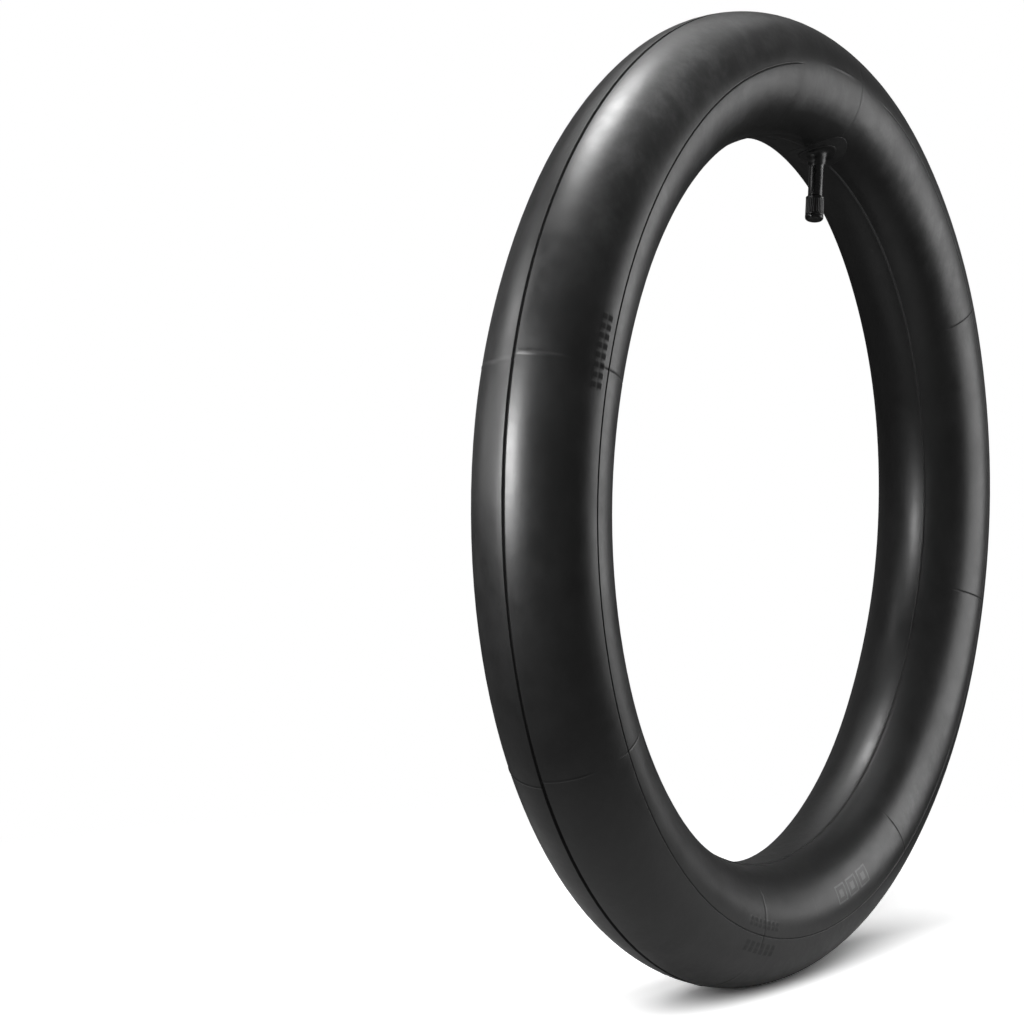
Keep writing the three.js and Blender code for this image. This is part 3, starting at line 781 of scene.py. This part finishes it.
def valve_cap(material):
    """The screw cap: ribbed sides, a plain band, a rounded rim and a slightly domed end."""
    rib_low, rib_high, rib_depth = CAP_MOUTH + 1.5, CAP_END - 3.6, 0.17
    inside = thread({**CAP_THREAD, "turns": 12}, CLEARANCE)

    def shape(angles, radius, height):
        ribs = rise(height, rib_low, rib_low + 0.35) * (1 - rise(height, rib_high, rib_high + 0.35))
        wave = np.clip(0.5 + 0.9 * np.cos(CAP_RIBS * angles), 0, 1)
        out = radius - (radius > 4.9) * ribs * rib_depth * (1 - wave)
        nut = (radius < 3.7) & (radius > 3.4) & (height < STEM_MOUTH + 0.1)
        return out + nut * inside(angles, height), height

    nut_radius = THREAD_ROOT + CLEARANCE
    profile = [(4.3, CAP_MOUTH), (CAP_RADIUS - 0.25, CAP_MOUTH), (CAP_RADIUS - 0.06, CAP_MOUTH + 0.1)]
    profile += [(CAP_RADIUS, CAP_MOUTH + 0.3), (CAP_RADIUS, CAP_MOUTH + 0.9)]
    profile += [(CAP_RADIUS - 0.12, CAP_MOUTH + 1.1), (CAP_RADIUS - 0.12, CAP_MOUTH + 1.35)]
    profile += [(CAP_RADIUS - 0.05, z) for z in np.linspace(rib_low, rib_high + 0.35, 24)]
    profile += [(CAP_RADIUS - 0.15, rib_high + 0.5), (CAP_RADIUS - 0.15, rib_high + 0.75)]
    profile += [(CAP_RADIUS, rib_high + 0.95)]
    rim, rim_steps = 1.9, 8
    for k in range(rim_steps + 1):
        angle = math.radians(90 * k / rim_steps)
        across, along = rim * (math.cos(angle) - 1), rim * (math.sin(angle) - 1)
        profile.append((CAP_RADIUS + across, CAP_END + along))
    profile += [(2.9, CAP_END - 0.05), (2.4, CAP_END - 0.22), (1.2, CAP_END - 0.12), (0, CAP_END - 0.1)]
    profile += [(0, CAP_END - 1.4), (2.85, CAP_END - 1.4), (2.85, 35.6), (4.05, 35.6)]
    profile += [(4.05, STEM_MOUTH - 0.05)]
    profile += [(nut_radius, z) for z in np.arange(STEM_MOUTH - 0.05, 27.5, -0.08)]
    profile += [(4.0, 27.49), (4.3, 27.2)]
    return turned("valve_cap_ribbed", material, profile, 240, shape)


def cap_washer(material):
    """The washer that the cap presses on the stem's mouth."""
    profile = [(2.95, 34.2), (3.75, 34.2), (3.75, 35.3), (2.95, 35.3)]
    return turned("cap_washer_ring", material, rounded(profile, 0.12), 64)


# ------------------------------------------------------------------ materials

def ranged(nodes, ends, smooth=False):
    """A Map Range node with some of its ends set."""
    node = nodes.new("ShaderNodeMapRange")
    if smooth:
        node.interpolation_type = "SMOOTHSTEP"
    for end, number in ends.items():
        node.inputs[end].default_value = number
    return node


class Surface:
    """A Principled material being made, with short calls for the nodes that feed it."""

    def __init__(self, name, **sockets):
        self.material = bpy.data.materials.new(name)
        self.material.use_nodes = True
        self.nodes = self.material.node_tree.nodes
        self.links = self.material.node_tree.links
        self.shader = self.nodes["Principled BSDF"]
        self.place = self.nodes.new("ShaderNodeTexCoord").outputs["Object"]
        for socket, value in sockets.items():
            self.shader.inputs[socket.replace("_", " ")].default_value = value

    def feed(self, socket, value):
        """Sets a socket, from another socket or from a number."""
        if isinstance(value, bpy.types.NodeSocket):
            self.links.new(value, socket)
        else:
            socket.default_value = value

    def noise(self, size_mm, detail=3, stretch=None, rough=0.5):
        """Noise with features of about size_mm, 0 to 1."""
        node = self.nodes.new("ShaderNodeTexNoise")
        node.inputs["Scale"].default_value = 1 / (size_mm * MM)
        node.inputs["Detail"].default_value = detail
        node.inputs["Roughness"].default_value = rough
        place = self.place
        if stretch is not None:
            mapping = self.nodes.new("ShaderNodeMapping")
            mapping.inputs["Scale"].default_value = stretch
            self.links.new(place, mapping.inputs["Vector"])
            place = mapping.outputs["Vector"]
        self.links.new(place, node.inputs["Vector"])
        return node.outputs["Fac"]

    def math(self, operation, a, b=0.0):
        """The result of a sum on two numbers or sockets."""
        node = self.nodes.new("ShaderNodeMath")
        node.operation = operation
        self.feed(node.inputs[0], a)
        self.feed(node.inputs[1], b)
        return node.outputs[0]

    def span(self, value, low, high, to_low=0.0, to_high=1.0):
        """value, mapped smoothly from low..high to to_low..to_high."""
        ends = {"From Min": low, "From Max": high, "To Min": to_low, "To Max": to_high}
        node = ranged(self.nodes, ends, smooth=True)
        self.feed(node.inputs["Value"], value)
        return node.outputs["Result"]

    def stored(self, name):
        """A number kept at the mesh's vertices."""
        node = self.nodes.new("ShaderNodeAttribute")
        node.attribute_name = name
        return node.outputs["Fac"]

    def mix(self, factor, a, b):
        """A colour between a and b."""
        node = self.nodes.new("ShaderNodeMix")
        node.data_type = "RGBA"
        self.feed(node.inputs["Factor"], factor)
        self.feed(node.inputs[6], a)
        self.feed(node.inputs[7], b)
        return node.outputs[2]

    def bump(self, height, depth_mm, normal=None):
        """A normal roughened by height, whose full range is depth_mm."""
        node = self.nodes.new("ShaderNodeBump")
        node.inputs["Strength"].default_value = 1.0
        node.inputs["Distance"].default_value = depth_mm * MM
        self.links.new(height, node.inputs["Height"])
        if normal is not None:
            self.links.new(normal, node.inputs["Normal"])
        return node.outputs["Normal"]

    def finish(self, colour, roughness, normal=None):
        """Feeds the shader and hands over the material."""
        for socket, value in (("Base Color", colour), ("Roughness", roughness), ("Normal", normal)):
            if value is not None:
                self.feed(self.shader.inputs[socket], value)
        return self.material


def grey(value):
    """A grey with a trace of blue."""
    return (value, value, value * 1.01, 1.0)


def printed_marks(s):
    """Three plain printed frames on the side, near the bottom. 0 to 1."""
    clock, around = s.stored("clock"), s.stored("around")
    first, pitch, middle, mm_clock = 162.0, 3.6, 107.0, 4.0
    half_wide, half_tall = 5.3, 4.9
    place = s.math("DIVIDE", s.math("SUBTRACT", clock, first), pitch)
    across = s.math("ABSOLUTE", s.math("SUBTRACT", s.math("FRACT", place), 0.5))
    across_mm = s.math("MULTIPLY", across, pitch * mm_clock)
    tall_mm = s.math("MULTIPLY", s.math("ABSOLUTE", s.math("SUBTRACT", around, middle)), MM_ROUND)
    past_side = s.math("SUBTRACT", across_mm, half_wide)
    past_end = s.math("SUBTRACT", tall_mm, half_tall)
    edge = s.math("MAXIMUM", past_side, past_end)
    outline = s.span(s.math("ABSOLUTE", edge), 0.35, 0.75, 1, 0)
    dot = s.span(s.math("MAXIMUM", across_mm, tall_mm), 2.0, 2.5, 1, 0)
    inside = s.math("MULTIPLY", s.span(place, -0.02, 0.0), s.span(place, 3.0, 3.02, 1, 0))
    return s.math("MULTIPLY", s.math("MAXIMUM", outline, dot), inside)


def mould_skin(s, powder):
    """The colour, roughness and surface of black butyl with some talc on it, powder from 0 to 1."""
    cloud = s.noise(24, 5, rough=0.62)
    fine = s.noise(3.5, 4, rough=0.65)
    dust = s.math("MULTIPLY", powder, s.span(s.noise(15, 6, (1, 1, 0.6), 0.68), 0.38, 0.72, 0.3))
    colour = s.mix(cloud, grey(0.005), grey(0.012))
    colour = s.mix(dust, colour, grey(0.12))
    roughness = s.math("ADD", s.span(cloud, 0.3, 0.7, 0.32, 0.4), s.span(fine, 0.3, 0.7, -0.02, 0.02))
    roughness = s.math("ADD", roughness, s.math("MULTIPLY", powder, 0.08))
    normal = s.bump(s.noise(10, 4, rough=0.6), 0.1, s.bump(s.noise(0.45, 2), 0.012))
    return colour, roughness, normal, fine


def butyl():
    """Black butyl as it comes from the mould: semi-matte, faintly mottled, with traces of talc, painted
    shade in its grooves and painted highlights on its ridges.
    """
    s = Surface("butyl", Specular_IOR_Level=0.5)
    colour, roughness, normal, fine = mould_skin(s, s.stored("talc"))
    # Painted highlight: the lit ridges are made paler.
    colour = s.mix(s.math("MULTIPLY", s.stored("ridge_highlight"), 0.8), colour, grey(0.07))
    print_wear = s.math("MULTIPLY", printed_marks(s), s.span(fine, 0.3, 0.6, 0.25, 0.6))
    colour = s.mix(print_wear, colour, grey(0.2))
    # Painted shade: the crease mask darkens the grooves and creases, and the moulded marks too.
    colour = s.mix(s.math("MULTIPLY", s.stored("crease"), 0.9), colour, grey(0.003))
    roughness = s.math("ADD", roughness, s.math("MULTIPLY", s.stored("crease"), 0.6))
    return s.finish(colour, roughness, normal)


def patch_rubber():
    """The bonded patch, of the same rubber as the tube, its edge buffed down to nothing."""
    s = Surface("patch_rubber", Specular_IOR_Level=0.5)
    colour, roughness, normal, fine = mould_skin(s, 0.2)
    return s.finish(colour, s.math("ADD", roughness, s.span(fine, 0.4, 0.7, 0.0, 0.05)), normal)


def stem_finish():
    """The stem: smooth moulded rubber, matt on the foot and polished on the sleeve."""
    s = Surface("stem_rubber", Specular_IOR_Level=0.5)
    mottle = s.noise(3, 4)
    colour = s.mix(mottle, grey(0.005), grey(0.009))
    sleeve = s.stored("sleeve")
    roughness = s.math("ADD", s.span(sleeve, 0, 1, 0.4, 0.24), s.span(mottle, 0.3, 0.7, 0.0, 0.06))
    return s.finish(colour, roughness, s.bump(s.noise(2.5, 2), 0.004))


def cap_plastic():
    """The cap: moulded black plastic, satin with fine scuffs."""
    s = Surface("cap_plastic", Specular_IOR_Level=0.5)
    scuff = s.span(s.noise(1.4, 5, rough=0.7), 0.5, 0.8)
    colour = s.mix(s.math("MULTIPLY", scuff, 0.2), grey(0.004), grey(0.016))
    roughness = s.span(scuff, 0, 1, 0.3, 0.42)
    return s.finish(colour, roughness, s.bump(s.noise(0.25, 2), 0.006))


def brass():
    """Machined brass: fine turning lines and a slight tarnish."""
    s = Surface("brass", Metallic=1.0)
    tarnish = s.noise(2.5, 4)
    colour = s.mix(tarnish, (0.58, 0.42, 0.18, 1), (0.74, 0.59, 0.3, 1))
    roughness = s.span(s.noise(0.5, 3), 0.3, 0.7, 0.2, 0.36)
    return s.finish(colour, roughness, s.bump(s.noise(0.12, 2, stretch=(0.2, 0.2, 3)), 0.004))


def spring_steel():
    """Drawn wire: bright, with draw marks."""
    s = Surface("spring_steel", Metallic=1.0)
    drawn = s.noise(0.2, 3)
    return s.finish(s.mix(drawn, grey(0.45), grey(0.62)), s.span(drawn, 0.3, 0.7, 0.18, 0.32))


def seal(name, dark, pale):
    """A small seal: matte, slightly mottled compound."""
    s = Surface(name, Specular_IOR_Level=0.35)
    mottle = s.noise(0.6, 4)
    roughness = s.span(mottle, 0.3, 0.7, 0.5, 0.66)
    return s.finish(s.mix(mottle, dark, pale), roughness, s.bump(mottle, 0.01))


# ------------------------------------------------------------------ stage, light and camera

FLOOR = cad_low.z
CAMERA_PLACE = Vector((-1.44149, -0.73984, 0.05149))
CAMERA_AIM = Vector((0.84577, 0.53234, -0.03585))
LENS = 100.31
FLOOR_WHITE = 1.5
FLOOR_REFLECTED_NEAR = 0.38
FLOOR_REFLECTED_FAR = 0.08
WORLD_LEVEL = 0.12


def floor_material():
    """White paper that turns into plain white for the camera away from the foot. Its colour for what it
    throws back at the tube falls off from there too: a painted pool of light."""
    material = bpy.data.materials.new("floor")
    material.use_nodes = True
    nodes, links = material.node_tree.nodes, material.node_tree.links
    nodes.remove(nodes["Principled BSDF"])
    paper = nodes.new("ShaderNodeBsdfDiffuse")
    glow = nodes.new("ShaderNodeEmission")
    mixed = nodes.new("ShaderNodeMixShader")
    place = nodes.new("ShaderNodeTexCoord")
    path = nodes.new("ShaderNodeLightPath")
    length = nodes.new("ShaderNodeVectorMath")
    length.operation = "LENGTH"
    seen = nodes.new("ShaderNodeMath")
    seen.operation = "MULTIPLY"
    white = ranged(nodes, {"To Max": FLOOR_WHITE})
    # Painted pool of light: the floor's colour for the tube falls off away from the foot.
    pool = ranged(nodes, {"From Min": 0.3, "From Max": 0.5, "To Min": FLOOR_REFLECTED_NEAR,
                          "To Max": FLOOR_REFLECTED_FAR}, smooth=True)
    fade = ranged(nodes, {"From Min": 0.34, "From Max": 0.8}, smooth=True)
    links.new(place.outputs["Object"], length.inputs[0])
    links.new(length.outputs["Value"], pool.inputs["Value"])
    links.new(pool.outputs["Result"], white.inputs["To Min"])
    links.new(length.outputs["Value"], fade.inputs["Value"])
    links.new(fade.outputs["Result"], seen.inputs[0])
    links.new(path.outputs["Is Camera Ray"], seen.inputs[1])
    links.new(path.outputs["Is Camera Ray"], white.inputs["Value"])
    links.new(white.outputs["Result"], paper.inputs["Color"])
    links.new(seen.outputs["Value"], mixed.inputs["Fac"])
    links.new(paper.outputs["BSDF"], mixed.inputs[1])
    links.new(glow.outputs["Emission"], mixed.inputs[2])
    links.new(mixed.outputs["Shader"], nodes["Material Output"].inputs["Surface"])
    return material


def floor():
    """A plain floor under the tube."""
    reach, height = 8000, FLOOR / MM
    corners = [(-reach, -reach), (reach, -reach), (reach, reach), (-reach, reach)]
    corners = [(x, y, height) for x, y in corners]
    piece = new_object("floor", corners, [[0, 1, 2, 3]], floor_material())
    return piece


def world(level):
    """White behind the object, and a dim even light on it."""
    made = bpy.data.worlds.new("studio")
    bpy.context.scene.world = made
    made.use_nodes = True
    nodes, links = made.node_tree.nodes, made.node_tree.links
    background = nodes["Background"]
    path = nodes.new("ShaderNodeLightPath")
    strength = ranged(nodes, {"To Min": level, "To Max": 1.0})
    background.inputs["Color"].default_value = (1, 1, 1, 1)
    links.new(path.outputs["Is Camera Ray"], strength.inputs["Value"])
    links.new(strength.outputs["Result"], background.inputs["Strength"])


def receivers(name, excluded):
    """A list of what a light falls on: everything but the excluded objects."""
    listed = bpy.data.collections.new(name)
    for piece in excluded:
        listed.objects.link(piece)
    for member in listed.collection_objects:
        member.light_linking.link_state = "EXCLUDE"
    return listed


def softbox(name, azimuth, elevation, distance, width, height, power, aim=(0, 0, 0), spread=180,
            falls_on=None):
    """A rectangular light that faces a point, seen from there at an azimuth, where 0 is +Y and 90
    is +X, and an elevation. A spread under 180 is a grid that keeps the light off all else."""
    a, e = math.radians(azimuth), math.radians(elevation)
    towards = Vector((math.sin(a) * math.cos(e), math.cos(a) * math.cos(e), math.sin(e)))
    light = bpy.data.lights.new(name, "AREA")
    light.shape = "RECTANGLE"
    light.size, light.size_y, light.energy = width, height, power
    light.spread = math.radians(spread)
    lamp = bpy.data.objects.new(name, light)
    lamp.location = Vector(aim) + towards * distance
    lamp.rotation_mode = "QUATERNION"
    lamp.rotation_quaternion = (-towards).to_track_quat("-Z", "Y")
    lamp.light_linking.receiver_collection = falls_on
    bpy.context.scene.collection.objects.link(lamp)


def lights(tube, ground):
    """One light for the floor's soft shadow, and the tube's own: small gridded ones on the side and
    shoulder that face the camera, and broad soft ones above and to the right."""
    on_floor = receivers("floor_only", tube)
    on_tube = receivers("tube_only", [ground])
    left_side, left_shoulder = (-0.27, 0, 0.03), (-0.25, 0, 0.1)
    softbox("floor", -110, 42, 1.5, 2.4, 2.4, 80, falls_on=on_floor)
    softbox("shoulder", 10, 76, 0.8, 0.5, 0.5, 0.9, (-0.155, 0, 0.2), 32, on_tube)
    softbox("overhead", 45, 76, 2.0, 2.4, 2.4, 17, falls_on=on_tube)
    softbox("side", 140, 6, 1.25, 0.95, 0.72, 7.4, falls_on=on_tube)
    softbox("left", -66, 9, 0.5, 0.26, 0.26, 0.34, left_side, 30, on_tube)
    softbox("left_rear", -36, 9, 0.5, 0.22, 0.24, 0.023, left_side, 40, on_tube)
    softbox("left_edge", -12, 8, 0.6, 0.26, 0.24, 0.018, left_side, 40, on_tube)
    softbox("left_high", -30, 31, 0.6, 0.5, 0.24, 0.13, left_shoulder, 40, on_tube)


def camera():
    """The camera: upright, looking slightly down and a little to the left of the ring."""
    lens = bpy.data.cameras.new("camera")
    lens.lens = LENS
    lens.sensor_width = 36
    lens.clip_start, lens.clip_end = 0.05, 50
    piece = bpy.data.objects.new("camera", lens)
    forward = CAMERA_AIM.normalized()
    right = forward.cross(Vector((0, 0, 1))).normalized()
    up = right.cross(forward)
    turn = Matrix((right, up, -forward)).transposed()
    piece.matrix_world = Matrix.Translation(CAMERA_PLACE) @ turn.to_4x4()
    bpy.context.scene.collection.objects.link(piece)
    bpy.context.scene.camera = piece


# ------------------------------------------------------------------ assembly

def place(piece, body, node, slot):
    """Puts a piece on its body, in place of its CAD node."""
    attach(piece, body)
    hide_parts(node)
    return piece


rubber, stem_black, gold = patch_rubber(), stem_finish(), brass()
black_seal = seal("seal_black", grey(0.006), grey(0.014))
red_seal = seal("seal_red", (0.2, 0.02, 0.012, 1), (0.36, 0.05, 0.03, 1))

place(tube_casing(butyl()), "root", "tube_casing", "butyl")
place(valve_base_patch(rubber), "root", "valve_base_patch", "patch_rubber")
place(stem_rubber(stem_black), "root", "stem_rubber", "stem_rubber")
place(stem_insert(gold), "root", "stem_insert", "brass")
place(core_barrel(gold), "core", "core_barrel", "brass")
place(core_packing(red_seal), "core", "core_packing", "seal_red")
spring = place(core_spring(spring_steel()), "core", "core_spring", "spring_steel")
place(core_plug(gold), "core_nut", "core_plug", "brass")
place(core_pin(gold), "pin", "core_pin", "brass")
place(core_cup(gold), "pin", "core_cup", "brass")
place(core_seat_washer(black_seal), "pin", "core_seat_washer", "seal_black")
place(valve_cap(cap_plastic()), "cap", "valve_cap", "cap_plastic")
place(cap_washer(black_seal), "cap_seal", "cap_washer", "seal_black")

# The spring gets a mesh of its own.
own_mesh(spring)

ground = floor()
world(WORLD_LEVEL)
lights([piece for piece in bpy.data.objects if piece.type == "MESH" and piece != ground], ground)
camera()
bpy.context.scene.view_settings.view_transform = "Standard"
